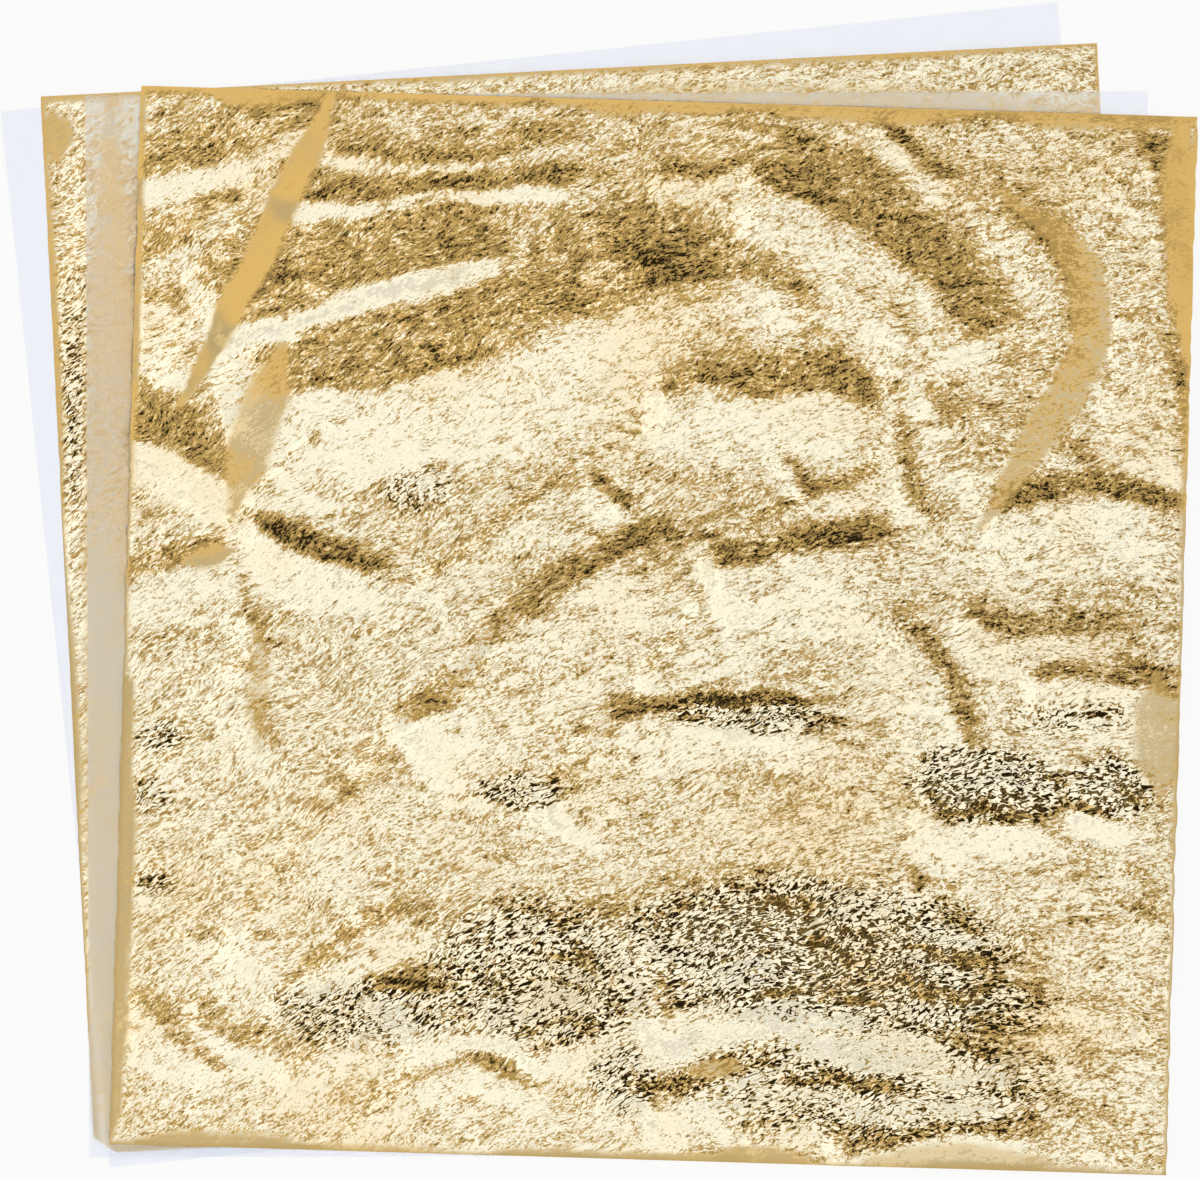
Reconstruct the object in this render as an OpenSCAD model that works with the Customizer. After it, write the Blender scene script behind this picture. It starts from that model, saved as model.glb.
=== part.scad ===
// A fanned set of leaf gilding sheets: two thin gold leaves, each lying on its own tissue.
// The frame: X right, Y up the page, Z up from the table. The origin is the middle of the
// lower tissue's underside. Lengths are in millimetres and turns in degrees, anticlockwise
// seen from above. Each sheet keeps to a layer of its own, so it can turn or lift freely.

/* [Sheets] */
// Side of a square gold leaf
leaf_side = 140; // [80:0.5:160]
// Side of a square tissue
tissue_side = 140.5; // [80:0.5:170]
// Thickness of a gold leaf, thicker than real leaf so that it is a solid
leaf_t = 0.05; // [0.02:0.01:0.2]
// Thickness of a tissue
tissue_t = 0.05; // [0.02:0.01:0.2]
// Clearance between one sheet's layer and the next
sheet_gap = 0.05; // [0.01:0.01:0.3]

/* [Fan] */
// Turn of the lower tissue
lower_tissue_turn = 5.9; // [-20:0.1:20]
// Turn of the lower leaf
lower_leaf_turn = 2.9; // [-20:0.1:20]
// Turn of the upper tissue
upper_tissue_turn = 0.2; // [-20:0.1:20]
// Turn of the upper leaf
upper_leaf_turn = -1.7; // [-20:0.1:20]
// Lower leaf's corner, to the right of the lower tissue's corner
lower_leaf_dx = -2.1; // [-10:0.1:10]
// Lower leaf's corner, up from the lower tissue's corner
lower_leaf_dy = 1.8; // [-10:0.1:10]
// Upper tissue's corner, to the right of the lower tissue's corner
upper_tissue_dx = -2.7; // [-10:0.1:10]
// Upper tissue's corner, up from the lower tissue's corner
upper_tissue_dy = 1.4; // [-10:0.1:10]
// Upper leaf's corner, to the right of the lower tissue's corner
upper_leaf_dx = -0.1; // [-10:0.1:10]
// Upper leaf's corner, up from the lower tissue's corner
upper_leaf_dy = 3.2; // [-10:0.1:10]

/* [Folds] */
// Height of the upper leaf's tallest fold above its soft dome
upper_rise = 1.9; // [0.2:0.1:5]
// Height of the lower leaf's tallest fold, pressed down by the tissue on it
lower_rise = 0.5; // [0.1:0.1:3]
// Height of the upper leaf's soft dome, in its middle
upper_dome = 0.5; // [0:0.1:3]
// Height of the soft swell between the folds, in the upper leaf
upper_swell = 0.3; // [0:0.05:1]
// Height of the soft swell between the folds, in the lower leaf
lower_swell = 0.15; // [0:0.05:1]
// Length of one soft swell
swell_pitch = 34; // [15:1:80]
// Width of the flat margin along each edge of a leaf
margin = 6; // [4:0.5:20]
// Length of edge lost on each side of the lower leaf's torn corner
torn_corner = 3.6; // [0.5:0.1:6]

/* [Hidden] */

// Cells along each side of a leaf, and the colours of the two sheets
cells = 24;
gold = [0.84, 0.7, 0.38];
paper = [0.93, 0.95, 0.98];

// The layers, from the table up
lower_leaf_z = tissue_t + sheet_gap;
upper_tissue_z = lower_leaf_z + lower_rise + leaf_t + sheet_gap;
upper_leaf_z = upper_tissue_z + tissue_t + sheet_gap;

// Nothing lies on the upper leaf, so folds that meet may stand taller than the tallest one
upper_room = 1.5 * upper_rise + upper_dome;

// The lower tissue's lower left corner, placed so that its middle is over the origin
function turned(p, a) = [p.x * cos(a) - p.y * sin(a), p.x * sin(a) + p.y * cos(a)];
fan_corner = -turned([tissue_side / 2, tissue_side / 2], lower_tissue_turn);

// Each fold is its crest, from the leaf's lower left corner, the width of its steep side,
// which lies to the left along the crest, the width of its easy side and its share of the
// rise. They go from the top edge down to the crumpled foot.
upper_folds = [
    // Long straight crease at the top left, and the folds that it crosses
    [[[24, 138], [14, 121], [6, 101]], 6, 7, 0.3],
    [[[2, 129], [12, 130], [22, 135]], 7, 6, 0.4],
    [[[18, 126], [38, 127], [58, 129]], 7, 6, 0.4],
    // The two great bands
    [[[12, 110], [28, 114], [44, 120]], 8, 6, 0.7],
    [[[19, 103], [36, 103], [52, 108]], 8, 11, 0.7],
    [[[42, 104], [57, 110], [72, 117]], 12, 14, 1],
    [[[62, 112], [76, 117], [88, 114]], 6, 9, 0.4],
    // The arms of the star at the left
    [[[20, 104], [17, 95], [14, 87]], 6, 6, 0.4],
    [[[0, 93], [7, 90], [14, 86]], 7, 6, 0.6],
    [[[14, 85], [24, 78], [35, 77]], 6, 7, 0.5],
    [[[0, 75], [8, 77], [15, 80]], 6, 7, 0.3],
    // The middle
    [[[38, 56], [50, 66], [59, 76], [72, 83]], 6, 9, 0.4],
    [[[69, 103], [84, 103], [98, 100]], 6, 10, 0.5],
    [[[78, 77], [90, 80], [101, 83]], 6, 9, 0.4],
    [[[60, 46], [66, 58], [74, 60]], 6, 7, 0.3],
    // The sweep round the upper right
    [[[84, 129], [98, 124], [105, 113], [108, 106]], 10, 10, 0.8],
    [[[100, 128], [109, 116], [111, 104]], 8, 6, 0.4],
    [[[114, 126], [123, 117], [122, 106], [110, 87]], 6, 12, 0.4],
    [[[126, 138], [135, 125], [137, 108]], 6, 8, 0.4],
    [[[112, 88], [127, 90], [140, 88]], 6, 7, 0.4],
    [[[102, 72], [109, 63], [112, 55]], 6, 7, 0.3],
    [[[113, 74], [119, 71], [127, 72]], 6, 7, 0.3],
    [[[119, 66], [129, 66], [140, 64]], 6, 7, 0.4],
    // The deep crumple at the right and the foot
    [[[104, 47], [120, 46], [136, 49]], 7, 7, 0.4],
    [[[72, 57], [84, 60], [95, 56]], 6, 7, 0.3],
    [[[70, 25], [86, 27], [104, 24], [116, 19]], 9, 9, 0.6],
    [[[72, 19], [96, 19], [119, 20]], 6, 6, 0.3],
    [[[74, 11], [87, 13], [104, 10], [119, 10]], 6, 6, 0.4],
    // The foot at the left
    [[[24, 11], [42, 19], [70, 24]], 6, 7, 0.5],
    [[[46, 26], [58, 29], [70, 33]], 6, 7, 0.3],
    [[[38, 56], [29, 44], [19, 31], [16, 24]], 6, 6, 0.3]
];

// Only the top strip and the left strip of the lower leaf show, and it is pressed flatter
lower_folds = [
    [[[10, 133], [48, 131], [84, 132]], 6, 9, 0.8],
    [[[88, 128], [112, 134], [138, 130]], 6, 9, 1],
    [[[8, 118], [10, 100], [7, 84], [9, 60]], 6, 7, 0.8],
    [[[9, 48], [6, 30], [10, 12]], 6, 7, 0.7],
    [[[24, 20], [52, 60], [60, 104]], 9, 12, 0.7],
    [[[44, 28], [84, 50], [124, 44]], 9, 12, 0.8],
    [[[72, 96], [100, 84], [118, 104]], 9, 12, 0.7]
];

// From 0 to 1 with a soft start and a soft stop
function soft(x) =
    let (t = max(0, min(1, x)))
    t * t * (3 - 2 * t);

// Point p against stretch i of a crest: how far off it lies, above 0 where that is to the
// left, and how far along the whole crest it is
function off_stretch(p, crest, i) =
    let (
        way = crest[i + 1] - crest[i],
        t = max(0, min(1, (p - crest[i]) * way / (way * way))),
        off = p - crest[i] - t * way
    )
    [norm(off), way.x * off.y - way.y * off.x, (i + t) / (len(crest) - 1)];

// The stretch that lies nearest, out of a list of them
function nearest(offs, i = 1, best = 0) =
    i >= len(offs) ? offs[best]
    : nearest(offs, i + 1, offs[i][0] < offs[best][0] ? i : best);

// One fold's share of the rise at p: whole on its crest, steep on one side, easy on the
// other, and fading out at both ends
function fold_share(p, fold) =
    let (
        near = nearest([for (i = [0:len(fold[0]) - 2]) off_stretch(p, fold[0], i)]),
        steep = near[1] > 0,
        share = max(0, 1 - near[0] / (steep ? fold[1] : fold[2])),
        ends = soft(4.5 * min(near[2], 1 - near[2]) + 0.25)
    )
    fold[3] * ends * (steep ? pow(share, 1.3) : soft(share));

// How far point p is from the edge, as a share of the flat margin
function inner_share(p) =
    max(0, min(1, min(p.x, p.y, leaf_side - p.x, leaf_side - p.y) / margin));

// Height of a leaf's underside over its layer at p, never over the room that it has. Folds
// that meet lean on each other and don't pile up.
function leaf_height(p, folds, rise, swell, dome, room) =
    let (
        fold = pow([for (f = folds) pow(fold_share(p, f), 2.5)] * [for (f = folds) 1], 0.4),
        wave = (1 + sin(360 * p.x / swell_pitch) * cos(360 * p.y / swell_pitch)) / 2,
        middle = (1 - pow(2 * p.x / leaf_side - 1, 2)) * (1 - pow(2 * p.y / leaf_side - 1, 2))
    )
    inner_share(p) * min(room, fold * rise + wave * swell * max(0, 1 - fold) + dome * middle);

// The places of a leaf's grid lines, the first one closer where a corner is torn off
function grid_line(i, torn) =
    torn == 0 ? leaf_side * i / cells
    : i == 0 ? 0
    : torn + (leaf_side - torn) * (i - 1) / (cells - 1);

// A point of a leaf's grid in plan, with the torn corner's point drawn in to the tear
function grid_point(i, j, torn) =
    i + j == 0 ? [torn / 2, torn / 2] : [grid_line(i, torn), grid_line(j, torn)];

// A crumpled leaf as one closed solid, its lower left corner at the origin
module leaf(folds, rise, swell, dome, room, torn = 0) {
    row = cells + 1;
    under = [
        for (j = [0:cells], i = [0:cells])
            let (
                p = grid_point(i, j, torn),
                z = leaf_height(p, folds, rise, swell, dome, room)
            )
            [p.x, p.y, z]
    ];
    over = [for (p = under) p + [0, 0, leaf_t]];
    up = row * row;
    sides = [
        for (i = [0:cells - 1]) [i, i + 1],
        for (j = [0:cells - 1]) [j * row + cells, (j + 1) * row + cells],
        for (i = [0:cells - 1]) [cells * row + i + 1, cells * row + i],
        for (j = [0:cells - 1]) [(j + 1) * row, j * row]
    ];
    polyhedron(
        points = concat(under, over),
        faces = [
            for (j = [0:cells - 1], i = [0:cells - 1])
                let (a = j * row + i)
                each [
                    [a, a + 1, a + row + 1],
                    [a, a + row + 1, a + row],
                    [up + a, up + a + row + 1, up + a + 1],
                    [up + a, up + a + row, up + a + row + 1]
                ],
            for (s = sides)
                each [
                    [s[0], up + s[1], s[1]],
                    [s[0], up + s[0], up + s[1]]
                ]
        ]
    );
}

// A flat tissue, its lower left corner at the origin
module tissue() {
    cube([tissue_side, tissue_side, tissue_t]);
}

// Puts a sheet's lower left corner near the fan's corner, turned, on its own layer
module laid(dx, dy, turn, z) {
    translate([fan_corner.x + dx, fan_corner.y + dy, z])
        rotate([0, 0, turn])
            children();
}

module lower_tissue() {
    color(paper)
        laid(0, 0, lower_tissue_turn, 0)
            tissue();
}

module lower_leaf() {
    color(gold)
        laid(lower_leaf_dx, lower_leaf_dy, lower_leaf_turn, lower_leaf_z)
            leaf(lower_folds, lower_rise, lower_swell, 0, lower_rise, torn_corner);
}

module upper_tissue() {
    color(paper)
        laid(upper_tissue_dx, upper_tissue_dy, upper_tissue_turn, upper_tissue_z)
            tissue();
}

module upper_leaf() {
    color(gold)
        laid(upper_leaf_dx, upper_leaf_dy, upper_leaf_turn, upper_leaf_z)
            leaf(upper_folds, upper_rise, upper_swell, upper_dome, upper_room);
}

lower_tissue();
lower_leaf();
upper_tissue();
upper_leaf();
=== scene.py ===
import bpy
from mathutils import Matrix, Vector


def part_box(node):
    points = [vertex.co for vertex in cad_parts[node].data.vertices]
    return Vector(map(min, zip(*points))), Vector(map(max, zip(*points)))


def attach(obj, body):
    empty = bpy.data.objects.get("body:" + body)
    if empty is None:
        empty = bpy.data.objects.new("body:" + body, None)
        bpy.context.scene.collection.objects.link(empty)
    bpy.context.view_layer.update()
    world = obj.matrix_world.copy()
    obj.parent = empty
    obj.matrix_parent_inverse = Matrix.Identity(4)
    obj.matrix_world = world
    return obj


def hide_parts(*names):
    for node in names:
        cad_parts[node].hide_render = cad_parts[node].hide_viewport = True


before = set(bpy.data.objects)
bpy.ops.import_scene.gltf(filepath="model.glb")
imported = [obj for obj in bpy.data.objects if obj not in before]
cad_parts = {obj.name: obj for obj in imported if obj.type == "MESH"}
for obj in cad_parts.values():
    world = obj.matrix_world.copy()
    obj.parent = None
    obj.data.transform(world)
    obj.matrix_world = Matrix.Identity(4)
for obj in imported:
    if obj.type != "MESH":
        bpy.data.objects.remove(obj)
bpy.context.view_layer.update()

import math

import bmesh
import bpy
import numpy as np
from mathutils import Vector, noise

mm = 0.001
scene = bpy.context.scene
scene.view_settings.view_transform = "Standard"

# The camera hangs straight above the sheets, its middle a little off the origin
photo = {
    "viewWidth": 158.8,      # mm of the table across the picture
    "middle": (2.2, -0.6),
    "cameraHeight": 1250.0,
    "sensor": 36.0,
}

# Up the page and to the right is away from the light, and the foil's ripples run across that
awayFromLight = (0.5, 0.87, 0)
alongRipples = (0.87, -0.5, 0)

# What polished foil sees round the camera, where 1 is plain white. The pairs are where a
# change begins and ends: how far a direction points away from the light, or its height
studio = {
    "lampDistance": 2.8,             # metres
    "litSide": 0.82,
    "dimSide": 0.48,
    "dimFrom": (0.08, 0.19),
    "darkCorner": 0.04,              # the share of the dim side left where it is darkest
    "darkFrom": (0.34, 0.64),
    "nearHorizon": 1.15,
    "horizonHeight": (0.16, 0.34),
    "darkHorizon": 0.15,             # the share of the horizon's light left under the dark corner
    "darkHorizonFrom": (0.45, 0.7),
    "skyColour": (1, 0.99, 0.975, 1),
}


def smooth(x):
    x = np.clip(x, 0, 1)
    return x * x * (3 - 2 * x)


def addNode(tree, kind, values=None, **settings):
    # one node: settings are its own fields, values go to its inputs, sockets are linked
    node = tree.nodes.new(kind)
    for name, value in settings.items():
        setattr(node, name, value)
    for name, value in (values or {}).items():
        if isinstance(value, bpy.types.NodeSocket):
            tree.links.new(value, node.inputs[name])
        else:
            node.inputs[name].default_value = value
    return node


def calc(tree, operation, *values):
    node = addNode(tree, "ShaderNodeMath", dict(enumerate(values)), operation=operation)
    return node.outputs[0]


def dot(tree, a, b):
    return addNode(tree, "ShaderNodeVectorMath", {0: a, 1: b}, operation="DOT_PRODUCT").outputs["Value"]


def remap(tree, value, low, high, toLow=0.0, toHigh=1.0):
    node = addNode(tree, "ShaderNodeMapRange", {
        "Value": value, "From Min": low, "From Max": high, "To Min": toLow, "To Max": toHigh,
    }, interpolation_type="SMOOTHSTEP")
    return node.outputs[0]


def mixColours(tree, factor, a, b):
    node = addNode(tree, "ShaderNodeMix", {"Factor": factor, "A": a, "B": b}, data_type="RGBA")
    return node.outputs["Result"]


def addCamera():
    camera = bpy.data.cameras.new("photoCamera")
    camera.sensor_fit = "HORIZONTAL"
    camera.sensor_width = photo["sensor"]
    camera.lens = photo["sensor"] * photo["cameraHeight"] / photo["viewWidth"]
    camera.clip_start = 0.05
    camera.clip_end = 20
    holder = bpy.data.objects.new("photoCamera", camera)
    holder.location = Vector((*photo["middle"], photo["cameraHeight"])) * mm
    scene.collection.objects.link(holder)
    scene.camera = holder


def addPanel(name, azimuth, fromZenith, wide, high, glow, mirrored=True):
    # a soft box: azimuth 0 is up the page and 90 to the right, wide and high in degrees;
    # what it gives comes on top of the room behind it
    far = studio["lampDistance"]
    lamp = bpy.data.lights.new(name, "AREA")
    lamp.shape = "RECTANGLE"
    lamp.size = 2 * far * math.tan(math.radians(wide / 2))
    lamp.size_y = 2 * far * math.tan(math.radians(high / 2))
    lamp.energy = glow * 4 * lamp.size * lamp.size_y
    a, t = math.radians(azimuth), math.radians(fromZenith)
    away = Vector((math.sin(a) * math.sin(t), math.cos(a) * math.sin(t), math.cos(t)))
    holder = bpy.data.objects.new(name, lamp)
    holder.location = away * far
    holder.rotation_euler = away.to_track_quat("Z", "Y").to_euler()
    holder.visible_glossy = mirrored
    scene.collection.objects.link(holder)


def addStudio():
    addPanel("lowerPanel", azimuth=200, fromZenith=25, wide=60, high=34, glow=0.20)
    addPanel("leftPanel", azimuth=270, fromZenith=32, wide=30, high=38, glow=0.14)
    # not seen in the foil, so it lights the tissue and the table
    addPanel("fillPanel", azimuth=30, fromZenith=20, wide=60, high=60, glow=0.45, mirrored=False)
    world = bpy.data.worlds.new("studioRoom")
    scene.world = world
    world.use_nodes = True
    tree = world.node_tree
    tree.nodes.clear()
    way = addNode(tree, "ShaderNodeTexCoord").outputs["Generated"]
    height = addNode(tree, "ShaderNodeSeparateXYZ", {0: way}).outputs["Z"]
    # the room is lit on one side and dim on the other, with the edge just past straight up
    away = dot(tree, way, awayFromLight)
    room = remap(tree, away, *studio["dimFrom"], studio["litSide"], studio["dimSide"])
    room = calc(tree, "MULTIPLY", room, remap(tree, away, *studio["darkFrom"], 1.0, studio["darkCorner"]))
    low = remap(tree, height, *studio["horizonHeight"], 1.0, 0.0)
    # the dark corner reaches down to the horizon
    kept = remap(tree, away, *studio["darkHorizonFrom"], 1.0, studio["darkHorizon"])
    low = calc(tree, "MULTIPLY", low, kept)
    room = calc(tree, "MULTIPLY", room, calc(tree, "SUBTRACT", 1.0, low))
    room = calc(tree, "ADD", room, calc(tree, "MULTIPLY", low, studio["nearHorizon"]))
    sky = addNode(tree, "ShaderNodeBackground", {"Color": studio["skyColour"], "Strength": room})
    addNode(tree, "ShaderNodeOutputWorld", {"Surface": sky.outputs[0]})


tableLook = {
    "half": 6,               # metres
    "below": 0.02,           # mm under the lowest sheet
    "colour": (0.86, 0.86, 0.86, 1),
    "white": 0.88,           # how much of it is plain white, as the rest keeps the sheets' shadow
}


def addTable():
    bm = bmesh.new()
    bmesh.ops.create_grid(bm, x_segments=1, y_segments=1, size=tableLook["half"])
    mesh = bpy.data.meshes.new("table")
    bm.to_mesh(mesh)
    bm.free()
    table = bpy.data.objects.new("table", mesh)
    table.location.z = -tableLook["below"] * mm
    scene.collection.objects.link(table)
    material = bpy.data.materials.new("paleTable")
    material.use_nodes = True
    tree = material.node_tree
    tree.nodes.clear()
    board = addNode(tree, "ShaderNodeBsdfDiffuse", {"Color": tableLook["colour"]})
    white = addNode(tree, "ShaderNodeEmission")
    path = addNode(tree, "ShaderNodeLightPath").outputs
    seen = calc(tree, "MAXIMUM", path["Is Camera Ray"], path["Is Glossy Ray"])
    seen = calc(tree, "MAXIMUM", seen, path["Is Transmission Ray"])
    share = calc(tree, "MULTIPLY", seen, tableLook["white"])
    mix = addNode(tree, "ShaderNodeMixShader", {0: share, 1: board.outputs[0], 2: white.outputs[0]})
    addNode(tree, "ShaderNodeOutputMaterial", {"Surface": mix.outputs[0]})
    mesh.materials.append(material)


# Beaten gold: fine ripples like those of sand, that drift over the leaf
goldLook = {
    "colour": (0.93, 0.87, 0.67, 1),      # painted highlight: the cream of foil that leans to the light
    "paintedFlatShade": (0.60, 0.43, 0.17, 1),  # painted shade: the dim room that foil mirrors where it lies smooth
    "paintedShadeColour": (0.92, 0.60, 0.19, 1),  # painted shade: foil that leans away from the light
    "paintedLitToShade": (-0.02, 0.08),    # slopes at which the painted highlight is whole, and the painted shade whole
    "ripplesInPaintedShade": 0.8,      # how much the ripples count in that slope
    "flatKeeps": 0.2,        # the share of its slope that a smooth streak keeps
    "roughness": 0.08,
    "patchScale": 45.0,      # slow patches where the painted highlight is weaker
    "patches": (0.2, 0.55),  # from the low to the high end the painted highlight grows whole
    "patchLeast": 0.75,
    "driftScale": 90.0,      # the slow wander of the ripples
    "driftBy": 3,            # mm
    "rippleNoise": {"Scale": 1.0, "Detail": 1.5, "Roughness": 0.6, "Distortion": 0.8},
    "rippleStart": 0.07,     # metres from the middle to the leaf's left edge
    "leanLeft": 0.70,        # the ripples' slope at that edge, up to the right
    "leanEases": 2.0,        # half of what the slope loses per metre
}

# Ripples by size: width in mm, how much longer they are, slope away from the light and
# sideways, the steepest slope away from it and towards it, the random share that lies
# level, and the mask of the place
goldRipples = [
    {"pitch": 0.28, "long": 2.0, "away": 0.46, "sideways": 0.15, "steepest": (0.42, 0.168),
     "level": 0.5, "mask": "grain"},
    {"pitch": 0.9, "long": 2.2, "away": 0.28, "sideways": 0.10, "steepest": (0.42, 0.168),
     "level": 0.5, "mask": "grain"},
    {"pitch": 0.42, "long": 2.0, "away": 3.0, "sideways": 0.4, "steepest": (0.75, 0.3),
     "level": 0.485, "mask": "crumple"},
]


def foilRippleGroup():
    # three random shares about 0.5, drawn out along the ripples, and slow patches
    group = bpy.data.node_groups.new("foilRipples", "ShaderNodeTree")
    for name in ("Pitch", "Length", "Lean", "Lean Eases"):
        group.interface.new_socket(name, in_out="INPUT", socket_type="NodeSocketFloat")
    group.interface.new_socket("Ripples", in_out="OUTPUT", socket_type="NodeSocketColor")
    group.interface.new_socket("Patches", in_out="OUTPUT", socket_type="NodeSocketFloat")
    given = addNode(group, "NodeGroupInput").outputs
    place = addNode(group, "ShaderNodeTexCoord").outputs["Object"]
    # a slow wander turns the ripples from place to place
    drift = addNode(group, "ShaderNodeTexNoise", {
        "Vector": place, "Scale": goldLook["driftScale"], "Detail": 1.0,
    }, noise_dimensions="2D")
    far = goldLook["driftBy"] * mm
    bend = addNode(group, "ShaderNodeVectorMath", {
        0: drift.outputs["Color"], 1: (far, far, 0), 2: place,
    }, operation="MULTIPLY_ADD")
    x, y, _ = addNode(group, "ShaderNodeSeparateXYZ", {0: bend.outputs[0]}).outputs
    fromLeft = calc(group, "ADD", x, goldLook["rippleStart"])
    eased = calc(group, "SUBTRACT", given["Lean"], calc(group, "MULTIPLY", fromLeft, given["Lean Eases"]))
    across = calc(group, "SUBTRACT", y, calc(group, "MULTIPLY", fromLeft, eased))
    perPitch = calc(group, "DIVIDE", 1.0, given["Pitch"])
    spread = addNode(group, "ShaderNodeCombineXYZ", {
        "X": calc(group, "DIVIDE", calc(group, "MULTIPLY", x, perPitch), given["Length"]),
        "Y": calc(group, "MULTIPLY", across, perPitch),
    }).outputs[0]
    ripples = addNode(group, "ShaderNodeTexNoise", {
        "Vector": spread, **goldLook["rippleNoise"],
    }, noise_dimensions="2D")
    patches = addNode(group, "ShaderNodeTexNoise", {
        "Vector": place, "Scale": goldLook["patchScale"], "Detail": 3.0,
    }, noise_dimensions="2D")
    addNode(group, "NodeGroupOutput", {"Ripples": ripples.outputs["Color"], "Patches": patches.outputs[0]})
    return group


def goldMaterial():
    material = bpy.data.materials.new("crinkledGold")
    material.use_nodes = True
    tree = material.node_tree
    shader = tree.nodes["Principled BSDF"]
    shader.inputs["Metallic"].default_value = 1
    shader.inputs["Roughness"].default_value = goldLook["roughness"]
    group = foilRippleGroup()
    normal = addNode(tree, "ShaderNodeTexCoord").outputs["Normal"]
    # smooth streaks and margins lie flatter than the mesh, which is too coarse for their edges
    crinkled = addNode(tree, "ShaderNodeAttribute", attribute_name="paintedLitShare").outputs["Fac"]
    kept = remap(tree, crinkled, 0.0, 1.0, goldLook["flatKeeps"], 1.0)
    kept = addNode(tree, "ShaderNodeCombineXYZ", {"X": kept, "Y": kept, "Z": 1.0}).outputs[0]
    normal = addNode(tree, "ShaderNodeVectorMath", {0: normal, 1: kept}, operation="MULTIPLY").outputs[0]
    # painted light and shade: foil that leans up the page and to the right, away from the light, takes the
    # painted shade colour instead of the painted highlight, and sooner further up the page, where more
    # painted shade stands for light that falls off there
    lean = dot(tree, normal, awayFromLight)
    paintedShadeUpPage = addNode(tree, "ShaderNodeAttribute", attribute_name="paintedShadeUpPage").outputs["Fac"]
    lean = calc(tree, "ADD", lean, paintedShadeUpPage)
    for size in goldRipples:
        ripples = addNode(tree, "ShaderNodeGroup", node_tree=group)
        ripples.inputs["Pitch"].default_value = size["pitch"] * mm
        ripples.inputs["Length"].default_value = size["long"]
        ripples.inputs["Lean"].default_value = goldLook["leanLeft"]
        ripples.inputs["Lean Eases"].default_value = goldLook["leanEases"]
        random = addNode(tree, "ShaderNodeSeparateColor", {0: ripples.outputs["Ripples"]}).outputs
        share = addNode(tree, "ShaderNodeAttribute", attribute_name=size["mask"]).outputs["Fac"]
        fromLight, toLight = size["steepest"]
        away = calc(tree, "SUBTRACT", random["Red"], size["level"])
        away = calc(tree, "MULTIPLY", away, 2 * size["away"])
        away = calc(tree, "MAXIMUM", calc(tree, "MINIMUM", away, fromLight), -toLight)
        away = calc(tree, "MULTIPLY", away, share)
        sideways = calc(tree, "SUBTRACT", random["Green"], 0.5)
        sideways = calc(tree, "MULTIPLY", sideways, 2 * size["sideways"])
        sideways = calc(tree, "MULTIPLY", sideways, share)
        for amount, way in ((away, awayFromLight), (sideways, alongRipples)):
            tilt = addNode(tree, "ShaderNodeVectorMath", {0: way, "Scale": amount}, operation="SCALE")
            normal = addNode(tree, "ShaderNodeVectorMath", {0: normal, 1: tilt.outputs[0]}, operation="ADD")
            normal = normal.outputs[0]
        lean = calc(tree, "ADD", lean, calc(tree, "MULTIPLY", away, goldLook["ripplesInPaintedShade"]))
    normal = addNode(tree, "ShaderNodeVectorMath", {0: normal}, operation="NORMALIZE").outputs[0]
    turned = addNode(tree, "ShaderNodeVectorTransform", {0: normal}, vector_type="NORMAL",
                     convert_from="OBJECT", convert_to="WORLD")
    tree.links.new(turned.outputs[0], shader.inputs["Normal"])
    # painted light and shade by slope: the lean, not the lamps, decides between the highlight and the shade
    # colour
    paintedLitShare = remap(tree, lean, *goldLook["paintedLitToShade"], 1.0, 0.0)
    patches = remap(tree, ripples.outputs["Patches"], *goldLook["patches"], goldLook["patchLeast"], 1.0)
    paintedLitShare = calc(tree, "MULTIPLY", paintedLitShare, patches)
    # painted shade: smooth streaks and margins take the dark flat colour of the dim room that smooth foil
    # mirrors, crinkled foil the painted highlight colour
    lit = mixColours(tree, crinkled, goldLook["paintedFlatShade"], goldLook["colour"])
    tint = mixColours(tree, paintedLitShare, goldLook["paintedShadeColour"], lit)
    tree.links.new(tint, shader.inputs["Base Color"])
    return material


tissueLook = {
    "colour": (0.925, 0.944, 0.99, 1),
    "clear": 0.90,
    "roughness": 0.75,
    "thinness": 1.25,
}


def tissueMaterial():
    material = bpy.data.materials.new("clearTissue")
    material.use_nodes = True
    shader = material.node_tree.nodes["Principled BSDF"]
    shader.inputs["Base Color"].default_value = tissueLook["colour"]
    shader.inputs["Transmission Weight"].default_value = tissueLook["clear"]
    shader.inputs["Roughness"].default_value = tissueLook["roughness"]
    shader.inputs["IOR"].default_value = tissueLook["thinness"]
    return material


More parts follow.
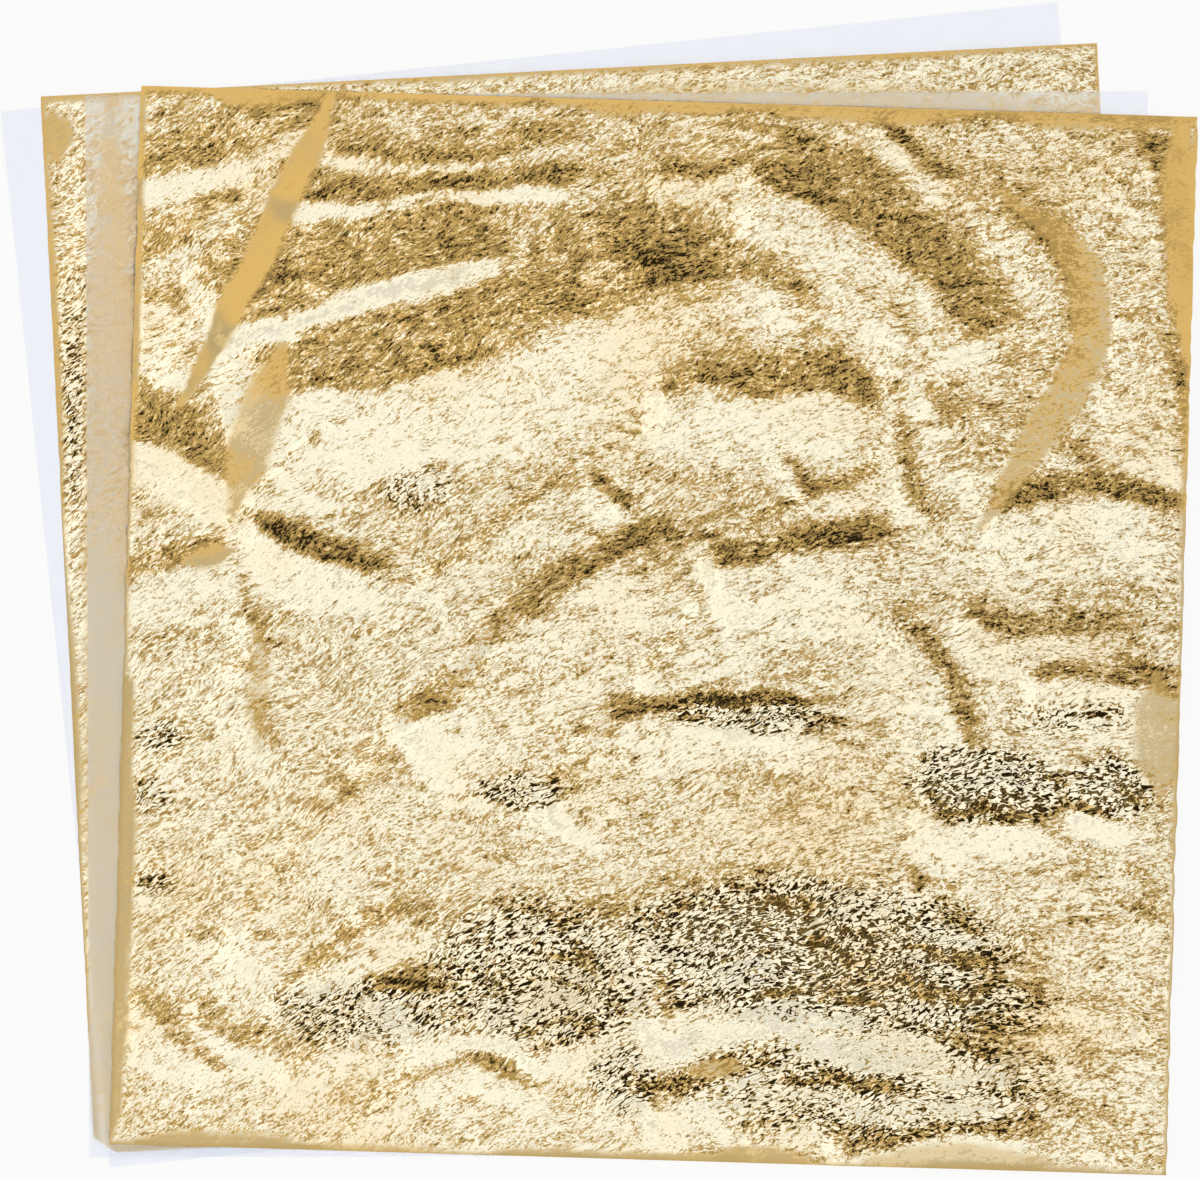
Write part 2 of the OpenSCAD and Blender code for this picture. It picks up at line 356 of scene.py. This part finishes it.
# A fold is a crest, drawn so that its steep side lies to the left: crest points in mm from
# the leaf's lower left corner, rise, width of the steep and of the easy side, sharpness
upperFolds = [
    # top left corner and the long facet that crosses it
    [[(-3, 127), (5, 129), (12, 130), (18, 133), (25, 138)], 0.9, 6, 4, 0.3],
    [[(-2, 114), (4, 118), (9, 122), (15, 126)], 0.6, 4, 5, 0.3],
    [[(-2, 112), (4, 112), (9, 108)], 0.4, 3, 5, 0.3],
    [[(25, 142), (20, 133), (14, 121), (9, 111), (5, 99)], 0.7, 4, 4, 1],
    # rows under the top edge
    [[(23, 132), (36, 131), (48, 132), (60, 136)], 0.5, 3.5, 3, 0.3],
    [[(16, 126), (30, 125), (38, 127), (48, 128), (60, 129)], 0.8, 5, 3, 0.3],
    [[(26, 121), (34, 122), (44, 124), (54, 125)], 0.3, 2.5, 2, 0.3],
    # the two great bands
    [[(9, 107), (15, 109), (20, 110), (28, 113.5), (36, 116), (50, 121)], 1.9, 12, 5, 0.5],
    [[(12, 96), (24, 100.5), (37, 102), (47, 105), (55, 109), (63, 112.5), (78, 118)], 2.2, 13, 14, 0.5],
    [[(60, 112), (71, 116), (79, 116.5), (86, 117), (90, 111)], 0.9, 6, 9, 0.3],
    # the star at the left and its arms
    [[(21, 105), (17, 95), (14, 86)], 0.8, 5, 4, 0.5],
    [[(15, 84), (21, 90), (27, 96), (33, 101)], 0.9, 6, 4, 0.4],
    [[(-3, 94), (5, 92), (12, 88), (14, 85.5)], 1.3, 8, 5, 0.8],
    [[(13, 86), (19, 81), (25, 78), (32, 76.5), (36, 78)], 1.0, 3.5, 7, 0.6],
    [[(-2, 74), (6, 76.5), (15, 80)], 0.7, 3.5, 7, 0.5],
    [[(14, 84), (15, 76), (18, 66), (16, 61), (20, 51)], 0.35, 3, 5, 0.4],
    # middle
    [[(40, 104), (38, 98), (34, 91)], 0.5, 2, 4, 0.6],
    [[(23, 86), (30, 91), (34, 98)], 0.5, 3, 4, 0.4],
    [[(37, 56), (45, 59.5), (49, 65), (53, 71), (59, 76.5), (66, 80), (73, 83)], 1.5, 3.8, 13, 0.5],
    [[(36, 55), (44, 60), (50, 69), (57, 77)], 1.3, 3.2, 8, 0.7],
    [[(38, 75), (46, 80), (53, 86), (60, 91)], 0.45, 2, 4, 0.6],
    [[(60, 91), (66, 85)], 0.4, 1.8, 4, 0.6],
    [[(57, 44), (61, 50), (65, 58), (74, 60)], 1.0, 3.2, 9, 0.5],
    [[(68, 62), (75, 69), (78, 77)], 0.5, 2.6, 5, 0.5],
    [[(58, 99), (59, 106)], 0.3, 1.5, 3, 0.5],
    [[(40, 102), (49, 103), (57, 102)], 0.3, 1.8, 3, 0.5],
    [[(67, 101), (76, 102.5), (84, 101.5), (92, 102.5), (100, 99)], 1.1, 5.5, 10, 0.4],
    [[(76, 77), (86, 80), (93, 81.5), (102, 83.5)], 1.3, 4.2, 13, 0.5],
    [[(81, 82), (91, 88.5), (101, 92.5)], 0.45, 2, 5, 0.4],
    [[(64, 73), (72, 80), (79, 83)], 0.4, 2, 4, 0.4],
    [[(84, 97), (88, 91), (90, 87)], 0.35, 1.6, 3, 0.5],
    [[(77, 100), (79, 94)], 0.3, 1.5, 3, 0.5],
    # the sweep round the upper right
    [[(68, 130), (76, 130), (84, 133)], 0.5, 2.5, 4, 0.3],
    [[(76, 122), (84, 119), (88, 112)], 0.35, 1.6, 4, 0.4],
    [[(80, 129.5), (91, 126), (98, 122.5), (104, 118.5), (109, 113), (113, 107)], 1.3, 9, 16, 0.3],
    [[(94, 117), (101, 111), (105, 103), (109, 96)], 0.6, 6, 8, 0.3],
    [[(97, 139), (103, 133), (108, 130)], 0.4, 2, 4, 0.4],
    [[(112, 127), (120, 122), (123.5, 117), (124, 112), (122.5, 106), (119, 99), (114, 92), (110, 87)],
     0.7, 5, 10, 0.6],
    [[(130, 141), (134.5, 133), (136, 124), (137, 116), (138, 104), (139, 90)], 0.9, 5, 14, 0.6],
    [[(100.5, 106), (101.5, 97), (103, 90), (105, 85)], 0.55, 2.8, 5, 0.4],
    [[(112, 86.5), (120, 88), (127, 90), (135, 89), (142, 87)], 1.0, 4, 11, 0.5],
    [[(122, 95), (133, 92)], 0.3, 2.5, 4, 0.3],
    [[(102, 73), (107, 67), (110, 61), (113, 54)], 0.65, 3.2, 10, 0.5],
    [[(110, 74), (117, 71), (126, 71), (135, 72)], 0.55, 3.5, 8, 0.4],
    [[(119, 65), (126, 65.5), (134, 64.5), (142, 64)], 0.9, 4, 9, 0.5],
    # the deep crumple, right and bottom
    [[(104, 47), (112, 46), (120, 46), (125, 47)], 0.7, 6, 6, 0.3],
    [[(126, 48), (131, 47), (136, 49)], 0.7, 5, 4, 0.3],
    [[(72, 57), (80, 59.5), (88, 59.5), (95, 56)], 0.5, 3, 7, 0.3],
    [[(68, 18), (76, 20.5), (84, 21.5), (92, 21), (102, 19.5), (112, 16), (119, 11)], 2.1, 14, 8, 0.4],
    [[(86, 15), (98, 15.5), (110, 15)], 0.5, 4, 4, 0.4],
    [[(70, 5), (77.5, 9), (85, 13), (91, 12.5)], 0.9, 5, 6, 0.5],
    [[(91, 10.5), (98, 10), (106, 9.5), (114, 9), (122, 10)], 0.9, 4.5, 5, 0.4],
    [[(94, 0), (102, 3), (110, 5), (124, 5)], 0.8, 4.5, 4, 0.3],
    [[(84, 2), (91, 5.5), (96, 8)], 0.5, 3, 4, 0.3],
    [[(138, 35), (131, 28), (127, 20)], 0.4, 4, 6, 0.3],
    # bottom left
    [[(20, 18), (27, 24), (35, 30), (42, 33)], 0.5, 2.5, 5, 0.4],
    [[(22, 8), (28, 14), (35, 18.5), (43, 23)], 0.7, 4, 5, 0.3],
    [[(38, 15), (47, 18.5), (55, 23), (63, 27)], 1.0, 7, 7, 0.3],
    [[(54, 13), (61, 16.5), (70, 19)], 0.9, 7, 6, 0.3],
    [[(46, 27), (58, 31), (70, 32)], 0.4, 3.5, 6, 0.3],
    [[(34, 3), (40, 9), (48, 12), (58, 8)], 0.5, 3, 4, 0.3],
    [[(10, 17), (18, 14), (26, 11)], 0.4, 3.5, 5, 0.3],
    [[(2, 20), (8, 14), (16, 10)], 0.4, 3.5, 5, 0.3],
    [[(15, 22), (18, 30), (22, 36), (27, 42), (33, 49), (38, 55)], 0.8, 3.5, 8, 0.5],
]

# Patches of deep crumple: middle, half length, half height, strength
upperRough = [
    [(115, 51), (9, 4.5), 1.0], [(110, 55), (3, 2), 0.8], [(131, 51), (5, 3.5), 1.0],
    [(126, 60), (8, 2), 0.6], [(83, 59), (10, 2.2), 0.7], [(92, 29), (22, 7), 1.0],
    [(98, 22), (22, 4), 0.9], [(100, 11), (24, 7), 0.6], [(68, 11), (4, 5), 0.8],
    [(57, 24), (14, 9), 0.75], [(34, 18), (12, 4), 0.7], [(53, 48), (6, 2), 0.7],
    [(5, 54), (3, 2), 0.6], [(4, 46), (3, 2), 0.5], [(5, 35), (3, 2), 0.5], [(38, 88), (5, 3), 0.5],
]

# Smooth streaks, where the foil lies with little grain and takes the painted shade of smooth foil: line,
# half width and strength
upperSmooth = [
    [[(26, 141), (17.6, 120), (13.6, 112), (6.5, 98)], 1.9, 1.0],
    [[(13.4, 84), (16.4, 93), (18, 99), (20, 106)], 2.9, 0.8],
    [[(17, 70), (18, 62), (18, 52)], 1.2, 0.4], [[(8, 77.5), (14, 79)], 1.5, 0.9],
    [[(114, 129), (121, 124.5), (126, 119), (127, 111), (124, 103), (119, 95), (113, 85)], 2.4, 0.7],
    [[(137.5, 141), (138, 130), (139, 120), (140, 108)], 2.6, 1.0],
    [[(137, 66), (137.5, 50)], 3.0, 0.7],
    [[(76, 12), (84, 13)], 1.2, 0.7],
    # flat margins
    [[(8, 140), (14, 139), (24, 139)], 1.4, 0.9], [[(26, 140), (40, 139.8), (54, 140)], 1.0, 0.9],
    [[(50, 140), (66, 139.6), (84, 140)], 1.1, 0.9], [[(78, 140), (98, 139.2), (114, 139.8)], 1.5, 0.9],
    [[(108, 140), (124, 139.2), (142, 139.6)], 1.4, 0.9],
    [[(0.5, 62), (1, 40), (0.6, 20), (1, 2)], 1.4, 0.9],
    [[(4, 0.5), (28, 0.8)], 1.4, 0.9], [[(47, 0), (70, 0)], 1.0, 0.8],
    [[(80, 0.5), (92, 0.8)], 1.5, 0.9], [[(100, 1), (125, 1.5)], 2.0, 0.7],
]

lowerFolds = [
    [[(-10, 142), (150, 142)], 0.5, 1, 10, 0.8],
    [[(58, 142), (52, 137), (44, 134)], 0.3, 2, 5, 0.4],
    [[(120, 141), (112, 137), (104, 136)], 0.25, 2, 5, 0.4],
    [[(8, 134), (9, 118), (10, 100), (7, 84), (9, 60)], 0.5, 4, 8, 0.3],
    [[(9, 48), (5, 30), (10, 12)], 0.4, 4, 7, 0.3],
    [[(24, 20), (52, 60), (60, 104)], 0.3, 9, 12, 0.2],
    [[(72, 96), (100, 84), (118, 104)], 0.3, 9, 12, 0.2],
]
lowerRough = [[(6, 98), (7, 18), 0.5]]
lowerSmooth = [
    [[(1.5, 138), (1.5, 132)], 2.2, 0.9],
    # pressed flat under the tissue that shows, at the left and at the top, with the painted shade of smooth
    # foil
    [[(9.4, 139), (2.4, 0)], 3.6, 0.6], [[(60, 136), (140, 130.5)], 3.0, 0.4],
]

sheets = {
    "lower_tissue": {"kind": "tissue", "side": 140.5, "turn": 5.9, "restsOn": []},
    "lower_leaf": {
        "kind": "leaf", "side": 140, "turn": 2.9, "restsOn": ["lower_tissue"], "seed": 11,
        "folds": lowerFolds, "rough": lowerRough, "smooth": lowerSmooth, "dome": 0.05, "crinkle": 0.5,
        # painted shade: the number after tallest deepens the gold up the page, standing for light that
        # falls off
        "rimDrop": 0.0, "tallest": 0.5, "paintedShadeUpPage": 0.04, "ragged": 0.1,
        "torn": ((0, 2.1), (3.0, 0)),
    },
    "upper_tissue": {"kind": "tissue", "side": 140.5, "turn": 0.2, "restsOn": ["lower_leaf"]},
    "upper_leaf": {
        "kind": "leaf", "side": 140, "turn": -1.7, "restsOn": ["upper_tissue"], "seed": 3,
        "folds": upperFolds, "rough": upperRough, "smooth": upperSmooth, "dome": 0.5, "crinkle": 1.0,
        # painted shade: the number after tallest deepens the gold up the page, standing for light that
        # falls off
        "rimDrop": 0.14, "tallest": 4.0, "paintedShadeUpPage": 0.045, "ragged": 0.3,
    },
}

leafMake = {
    "cells": 220,            # along each side
    "tissueCells": 60,
    "thickness": 0.05,       # mm, of leaf and tissue alike
    "crispAngle": 60,        # degrees past which an edge stays crisp
    "gutter": 0.45,          # flat along every edge
    "gutterVaries": (26, 2.2, 0.15, 1.8),    # mm from wide to narrow, by how much, least, most
    "rimWidth": 1.3,
    "rimVaries": (18, 1.5, 0.6),             # the same, without the most
    "nibbles": [(2.2, 1.0), (7, 0.7)],       # mm between them, and their share of the raggedness
    "wander": (9, 1.2),      # lines wander: mm between the bends, and how far
    "ragged": (2.5, 0.5),    # the same for their small jags
    "foldStrays": (0.25, 0.12),    # the least share of that, and more per mm of steep side
    "leanOn": 2.5,           # 1 would pile up folds that meet
    "roughReach": 1.6,       # where a patch of crumple has faded out, in its half sizes
    "streakStrays": 0.55,
    "streakEnds": (0.38, 0.12, 0.2),    # share of its length that narrows, its start, least width
    "streakEdge": (1.3, 0.5),           # where it has faded out and over what, in its half widths
    "calmed": (0.85, 0.93),  # the shares of relief and of grain that a streak takes away
    "ripplePitch": 3.6,      # mm between the small folds
    "rippleHeight": 0.13,
    "rippleFace": 0.35,      # the share of a small fold that is its steep side
    "rippleBends": [(1.6, 2.2), (0.55, 0.8), (0.2, 0.3)],    # how far and how soon, in pitches
    "ripplePower": (0.3, 2.6, 1.3, 1.2),     # usual, by how much and how soon it varies, most
    "rippleGain": (-0.6, 3.2),       # what a steep side and deep crumple add to the small folds
    "climb": (0.55, 0.0019),         # their slope at the left, and half of what it loses per mm
    "sway": 1.6,
    "squeeze": 0.7,                  # less than 1 draws them out along the page
    "facets": [(12, 0.15), (6, 0.11), (3, 0.08), (1.6, 0.05)],    # mm across, and their height
    "facetGain": (0.65, 0.45, 2.5),  # their share anywhere, and what those two add
    "paintedShadeUpPage": (70, 45),        # mm up the page where the painted shade of falling light begins, and over which it grows
}


def toLine(points, line):
    # for each point: distance to the line, which side it is on, and how far along it is
    best = np.full(len(points), 1e9)
    side = np.ones(len(points))
    along = np.zeros(len(points))
    walked = 0.0
    for a, b in zip(line[:-1], line[1:]):
        a, b = np.array(a, float), np.array(b, float)
        step = b - a
        length = np.linalg.norm(step)
        t = np.clip(((points - a) @ step) / length ** 2, 0, 1)
        off = points - a - t[:, None] * step
        distance = np.linalg.norm(off, axis=1)
        closer = distance < best
        best = np.where(closer, distance, best)
        turn = step[0] * off[:, 1] - step[1] * off[:, 0]
        side = np.where(closer, np.sign(turn), side)
        along = np.where(closer, walked + t * length, along)
        walked += length
    return best, side, along, walked


foldMake = {
    "hollow": 1.15,          # of the steep side, where 1 is straight
    "faceEdge": 2.2,         # how soon it counts as steep
    "litEnd": 0.14,          # the share of its length over which a fold sinks
    "darkEnd": (9, 0.25, 0.6),    # times its rise, and the least and most share of its length
    "blunt": 0.25,           # how far up an end starts
}


def foldRelief(points, fold):
    # the fold's height, and how much of its steep side a point is on
    line, rise, steep, easy, sharp = fold
    distance, side, along, length = toLine(points, line)
    share = 1 - np.clip(distance / np.where(side > 0, steep, easy), 0, 1)
    face = share ** foldMake["hollow"]
    shape = np.where(side > 0, face, sharp * share + (1 - sharp) * smooth(share))
    ends = np.ones(len(points))
    perRise, least, most = foldMake["darkEnd"]
    for tip, before, walked in ((line[0], line[1], along), (line[-1], line[-2], length - along)):
        # an end that faces away from the light sinks slowly
        dark = awayFromLight[0] * (tip[0] - before[0]) + awayFromLight[1] * (tip[1] - before[1]) > 0
        slow = min(most * length, max(least * length, perRise * rise))
        fade = slow if dark else foldMake["litEnd"] * length
        ends = ends * smooth(walked / fade + foldMake["blunt"])
    onFace = smooth(share * foldMake["faceEdge"])
    return rise * shape * ends, np.where(side > 0, onFace, 0) * ends


def softNoise(points, pitch, seed):
    shift = Vector((seed * 17.3, seed * 7.9, seed * 3.1))
    return np.array([noise.noise(Vector((x / pitch, y / pitch, 0)) + shift) for x, y in points])


def dunes(points, pitch, face, seed):
    # small folds like dunes: a long easy side and a short steep one up the page, 1 high
    way = points[:, 1] / pitch
    for number, (far, soon) in enumerate(leafMake["rippleBends"]):
        way = way + far * softNoise(points, soon * pitch, seed + number)
    share = way - np.floor(way)
    height = np.where(share < 1 - face, share / (1 - face), (1 - share) / face)
    usual, varies, soon, most = leafMake["ripplePower"]
    return height * np.clip(usual + varies * softNoise(points, soon * pitch, seed + 3), 0, most)


def facets(points, pitch, seed):
    # crumpled foil: flat three-sided facets between sharp creases, from -1 to 1 high
    across, up = 97, 89    # corners before the heights repeat
    heights = np.random.default_rng(seed).uniform(-1, 1, (across, up))
    v = points[:, 1] / (0.87 * pitch)
    u = points[:, 0] / pitch - 0.5 * v
    i, j = np.floor(u).astype(int), np.floor(v).astype(int)
    here = heights[np.mod(i, across), np.mod(j, up)]
    right = heights[np.mod(i + 1, across), np.mod(j, up)]
    above = heights[np.mod(i, across), np.mod(j + 1, up)]
    beyond = heights[np.mod(i + 1, across), np.mod(j + 1, up)]
    near = u - i + v - j < 1
    corner = np.where(near, here, beyond)
    toRight = np.where(near, u - i, 1 - (v - j))
    toAbove = np.where(near, v - j, 1 - (u - i))
    return corner + toRight * (right - corner) + toAbove * (above - corner)


def leafRelief(points, spec):
    # heights in mm, how loud the grain and the crumple are, the share that takes the painted highlight
    # colour rather than the painted shade of smooth foil, and the painted shade that deepens the gold up
    # the page
    side, seed = spec["side"], spec["seed"]
    (bend, far), (jag, jagFar) = leafMake["wander"], leafMake["ragged"]
    wander = np.column_stack([softNoise(points, bend, seed + 1), softNoise(points, bend, seed + 2)])
    ragged = np.column_stack([softNoise(points, jag, seed + 7), softNoise(points, jag, seed + 8)])
    stray = far * wander + jagFar * ragged
    loose = points + stray
    # folds that meet lean on each other instead of piling up, and narrow ones run straighter
    crests, steep = np.zeros(len(points)), np.zeros(len(points))
    least, perWidth = leafMake["foldStrays"]
    for fold in spec["folds"]:
        height, face = foldRelief(points + stray * min(1, least + perWidth * fold[2]), fold)
        crests += height ** leafMake["leanOn"]
        steep = np.maximum(steep, face)
    relief = crests ** (1 / leafMake["leanOn"])
    relief += spec["dome"] * (1 - (points / side * 2 - 1) ** 2).prod(axis=1)
    # the upper rim bends down
    apart, varies, least = leafMake["rimVaries"]
    curl = (least + varies * np.abs(softNoise(points, apart, seed + 6))) * leafMake["rimWidth"]
    relief += spec["rimDrop"] * np.clip((side - points[:, 1]) / curl, 0, 1)
    rough = np.zeros(len(points))
    for middle, half, strength in spec["rough"]:
        off = np.linalg.norm((loose - middle) / half, axis=1)
        rough = np.maximum(rough, strength * smooth(leafMake["roughReach"] - off))
    calm = np.zeros(len(points))
    narrows, start, least = leafMake["streakEnds"]
    reach, fades = leafMake["streakEdge"]
    for line, half, strength in spec["smooth"]:
        # a streak runs out in a point at both ends
        distance, _, along, length = toLine(points + leafMake["streakStrays"] * stray, line)
        fromEnd = np.minimum(along, length - along) / (narrows * length)
        taper = least + (1 - least) * smooth(fromEnd + start)
        calm = np.maximum(calm, strength * smooth((reach - distance / (half * taper)) / fades))
    toEdge = np.minimum(points, side - points).min(axis=1)
    apart, varies, least, most = leafMake["gutterVaries"]
    gutter = leafMake["gutter"] * np.clip(1 + varies * softNoise(points, apart, seed + 5), least, most)
    inside = smooth((toEdge - 0.4 * gutter) / (0.8 * gutter + 0.4))
    calmRelief, calmGrain = leafMake["calmed"]
    loud = (1 - calmRelief * calm) * inside * spec["crinkle"]
    # the small folds climb to the right on the left half and level out on the right half
    climb, eases = leafMake["climb"]
    climbed = climb * loose[:, 0] - eases * loose[:, 0] ** 2
    leaning = loose - np.column_stack([0 * climbed, climbed])
    leaning = (leaning + leafMake["sway"] * wander) * [leafMake["squeeze"], 1]
    small = dunes(leaning, leafMake["ripplePitch"], leafMake["rippleFace"], seed + 30)
    onSteep, onRough = leafMake["rippleGain"]
    relief += small * leafMake["rippleHeight"] * (1 + onSteep * steep + onRough * rough) * loud
    anywhere, onSteep, onRough = leafMake["facetGain"]
    sharpness = (anywhere + onSteep * steep + onRough * rough) * loud
    for number, (pitch, height) in enumerate(leafMake["facets"]):
        relief += facets(leaning, pitch, seed + number) * height * sharpness
    quiet = (1 - calmGrain * calm) * inside
    # painted light: the quiet share also picks the painted highlight colour over the painted shade of
    # smooth foil
    masks = {"grain": quiet * (1 - 0.5 * rough), "crumple": rough * quiet, "paintedLitShare": quiet}
    # painted shade: further up the page the gold turns deeper, standing for light that falls off there
    shadeFrom, shadeOver = leafMake["paintedShadeUpPage"]
    masks["paintedShadeUpPage"] = spec["paintedShadeUpPage"] * smooth((loose[:, 1] - shadeFrom) / shadeOver)
    return np.clip(relief, 0, spec["tallest"]), masks


def raggedEdge(points, spec):
    # the left and right edges are nibbled a little, within a hundredth of the side
    fromMiddle = points[:, 0] / spec["side"] - 0.5
    nibble = np.zeros(len(points))
    for number, (apart, deep) in enumerate(leafMake["nibbles"]):
        nibble += deep * np.abs(softNoise(points, apart, spec["seed"] + 40 + number))
    nibble = nibble * spec["ragged"] * smooth((np.abs(fromMiddle) - 0.49) / 0.01)
    return points - np.column_stack([np.sign(fromMiddle) * nibble, 0 * nibble])


def laidOut(points, spec, box):
    # from mm on the sheet to the frame: turned about its middle, over the node's middle
    turn = math.radians(spec["turn"])
    flat = (points - spec["side"] / 2) * mm
    middle = (box[0] + box[1]) / 2
    x = flat[:, 0] * math.cos(turn) - flat[:, 1] * math.sin(turn) + middle.x
    y = flat[:, 0] * math.sin(turn) + flat[:, 1] * math.cos(turn) + middle.y
    return x, y


def makeSheet(node, spec, material):
    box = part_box(node)
    cells = leafMake["cells"] if spec["kind"] == "leaf" else leafMake["tissueCells"]
    bm = bmesh.new()
    bmesh.ops.create_grid(bm, x_segments=cells, y_segments=cells, size=spec["side"] / 2)
    area = spec["side"] ** 2
    if "torn" in spec:
        # a corner is torn off along the line between two points on its edges
        (a, b), (c, d) = spec["torn"]
        across = Vector((-(b + d), -(a + c), 0))
        start = Vector((a, b, 0)) - Vector((1, 1, 0)) * spec["side"] / 2
        whole = bm.verts[:] + bm.edges[:] + bm.faces[:]
        bmesh.ops.bisect_plane(bm, geom=whole, plane_co=start, plane_no=across, clear_outer=True)
        area -= b * c / 2
    mesh = bpy.data.meshes.new(node + "_sheet")
    bm.to_mesh(mesh)
    bm.free()
    count = len(mesh.vertices)
    co = np.empty(count * 3)
    mesh.vertices.foreach_get("co", co)
    points = co.reshape(-1, 3)[:, :2] + spec["side"] / 2
    if spec["kind"] == "leaf":
        relief, masks = leafRelief(points, spec)
        points = raggedEdge(points, spec)
        print(node, "highest fold", round(float(relief.max()), 2), "mm")
    else:
        relief = np.zeros(count)
    x, y = laidOut(points, spec, box)
    z = box[0].z + relief * mm
    mesh.vertices.foreach_set("co", np.column_stack([x, y, z]).ravel())
    if spec["kind"] == "leaf":
        for name, values in masks.items():
            attribute = mesh.attributes.new(name, "FLOAT", "POINT")
            attribute.data.foreach_set("value", values.astype(np.float32))
    mesh.shade_smooth()
    mesh.materials.append(material)
    sheet = bpy.data.objects.new(node + "_sheet", mesh)
    scene.collection.objects.link(sheet)
    body = sheet.modifiers.new("thickness", "SOLIDIFY")
    body.thickness = leafMake["thickness"] * mm
    body.offset = 1
    thick = bpy.data.meshes.new_from_object(sheet.evaluated_get(bpy.context.evaluated_depsgraph_get()))
    sheet.modifiers.clear()
    sheet.data = thick
    thick.name = node + "_sheet"
    thick.set_sharp_from_angle(angle=math.radians(leafMake["crispAngle"]))
    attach(sheet, node)
    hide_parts(node)
    print("laid", node)


addCamera()
addStudio()
addTable()
print("camera, studio and table are up")
gold = goldMaterial()
tissue = tissueMaterial()
print("gold and tissue are mixed")
for node, spec in sheets.items():
    makeSheet(node, spec, gold if spec["kind"] == "leaf" else tissue)

bpy.context.view_layer.update()
